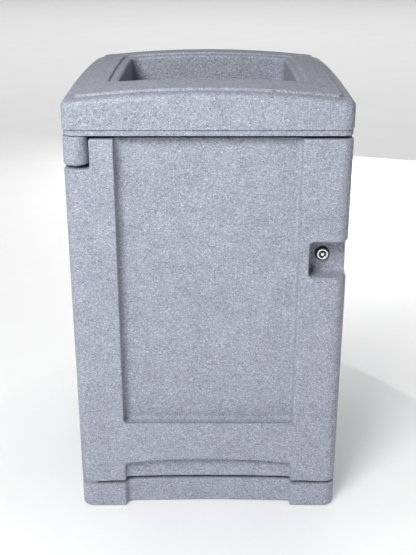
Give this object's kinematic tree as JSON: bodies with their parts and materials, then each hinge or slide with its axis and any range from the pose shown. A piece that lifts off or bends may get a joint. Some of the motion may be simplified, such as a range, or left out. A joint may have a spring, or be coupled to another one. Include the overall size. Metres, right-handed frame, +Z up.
{
  "type": "litter receptacle",
  "caption": "Square moulded litter receptacle with a crowned open-top bonnet, a side-hinged front door with a pocketed cam lock, and a rigid inner liner.",
  "frame": {"origin": "centre of the footprint, on the floor", "axes": "+Z up, -Y towards the front door, +X towards the lock side"},
  "size_m": [0.573, 0.64, 0.9489],
  "materials": {
    "granite_plastic": "matte, speckled granite grey, lightly orange-peeled",
    "liner_plastic": "matte dark grey",
    "zinc_steel": "zinc plated",
    "stainless_pin": "ground stainless",
    "lock_chrome": "polished chrome",
    "black_rubber": "matte black",
    "nylon": "natural nylon",
    "brass": "turned brass"
  },
  "bodies": {
    "cabinet": {"cabinet_shell": "granite_plastic", "lid_shell": "granite_plastic", "lid_inserts": "brass", "lid_bolts": "zinc_steel", "lid_washers": "zinc_steel", "rigid_liner": "liner_plastic", "upper_hinge_pin": "stainless_pin", "lower_hinge_pin": "stainless_pin", "hinge_thrust_washer": "nylon", "door_bumpers": "black_rubber", "strike_plate": "zinc_steel", "strike_screws": "zinc_steel"},
    "door": {"door_shell": "granite_plastic", "upper_hinge_bushing": "nylon", "lower_hinge_bushing": "nylon", "lock_backing_plate": "zinc_steel", "lock_face_washer": "black_rubber", "lock_housing": "lock_chrome", "lock_nut": "zinc_steel"},
    "lock_core": {"lock_plug": "lock_chrome", "lock_cam": "zinc_steel", "cam_washer": "zinc_steel", "cam_screw": "zinc_steel"}
  },
  "joints": [
    {"name": "door_hinge", "type": "hinge", "parent": "cabinet", "child": "door", "pos_m": [-0.2615, -0.295, 0.4], "axis": [0, 0, -1], "range_deg": [0, 170]},
    {"name": "lock_turn", "type": "hinge", "parent": "door", "child": "lock_core", "pos_m": [0.238, -0.2765, 0.5985], "axis": [0, 1, 0], "range_deg": [0, 90]}
  ]
}
